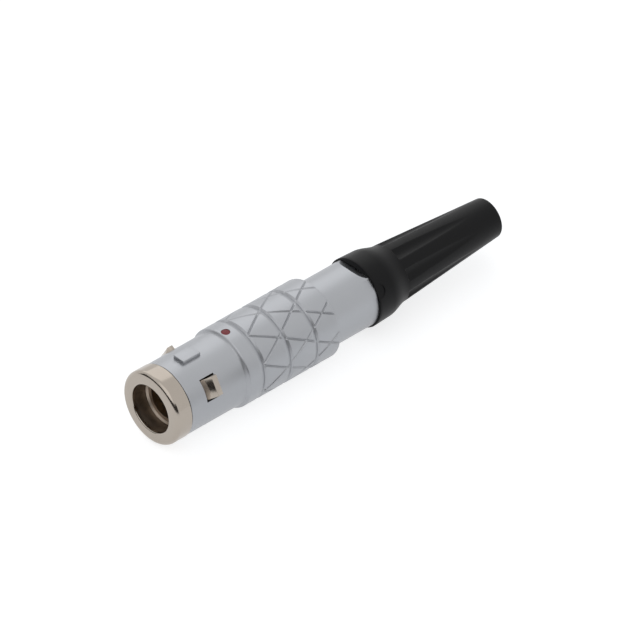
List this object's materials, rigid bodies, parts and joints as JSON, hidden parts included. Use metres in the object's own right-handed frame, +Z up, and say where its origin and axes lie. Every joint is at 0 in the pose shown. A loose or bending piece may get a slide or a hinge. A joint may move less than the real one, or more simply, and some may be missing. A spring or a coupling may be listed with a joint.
{
  "type": "push-pull circular connector",
  "caption": "Straight push-pull circular cable plug with a sliding release sleeve, spring latch pawls, keyed nose, knurled grip, collet nut and rubber bend relief.",
  "frame": {"origin": "under the middle of the plug's length, on the surface that it lies on", "axes": "+X along the plug's axis from the nose towards the cable, +Z up through the key and the index dot"},
  "size_m": [0.101, 0.019, 0.0191],
  "materials": {
    "nickel": "bright nickel plate on brass",
    "satin_chrome": "satin chrome plate on brass",
    "red_dot": "red paint",
    "spring_steel": "plain spring steel",
    "insulator": "black moulded plastic",
    "gold": "gold plate on brass",
    "gasket_rubber": "black silicone rubber",
    "relief_rubber": "satin black moulded elastomer"
  },
  "bodies": {
    "plug_core": {"latch_sleeve": "nickel", "retaining_ring": "spring_steel", "insert_carrier_left": "nickel", "insert_carrier_right": "nickel", "insulator_front": "insulator", "insulator_rear": "insulator", "contact_1": "gold", "contact_2": "gold", "contact_3": "gold", "contact_4": "gold", "contact_5": "gold", "contact_6": "gold", "contact_7": "gold", "earthing_cone": "nickel", "sealing_gasket": "gasket_rubber", "collet": "nickel", "collet_nut": "satin_chrome", "bend_relief": "relief_rubber"},
    "release_sleeve": {"release_sleeve": "satin_chrome", "index_dot": "red_dot"},
    "latch_finger_left": {"latch_finger_left": "nickel"},
    "latch_finger_right": {"latch_finger_right": "nickel"},
    "latch_finger_bottom": {"latch_finger_bottom": "nickel"}
  },
  "joints": [
    {"name": "sleeve_slide", "type": "slide", "parent": "plug_core", "child": "release_sleeve", "axis": [1, 0, 0], "range_m": [0, 0.0012], "stiffness_N_per_m": 3500, "springref_m": -0.001},
    {"name": "finger_left_bend", "type": "hinge", "parent": "plug_core", "child": "latch_finger_left", "pos_m": [-0.0263, 0.00615, 0.01307], "axis": [0, -0.5, 0.866], "range_deg": [0, 5.2]},
    {"name": "finger_right_bend", "type": "hinge", "parent": "plug_core", "child": "latch_finger_right", "pos_m": [-0.0263, -0.00615, 0.01307], "axis": [0, -0.5, -0.866], "range_deg": [0, 5.2]},
    {"name": "finger_bottom_bend", "type": "hinge", "parent": "plug_core", "child": "latch_finger_bottom", "pos_m": [-0.0263, 0, 0.00242], "axis": [0, 1, 0], "range_deg": [0, 5.2]}
  ],
  "couplings": [
    {"joint": "finger_left_bend", "follows": "sleeve_slide", "rad_per_m": 74},
    {"joint": "finger_right_bend", "follows": "sleeve_slide", "rad_per_m": 74},
    {"joint": "finger_bottom_bend", "follows": "sleeve_slide", "rad_per_m": 74}
  ]
}
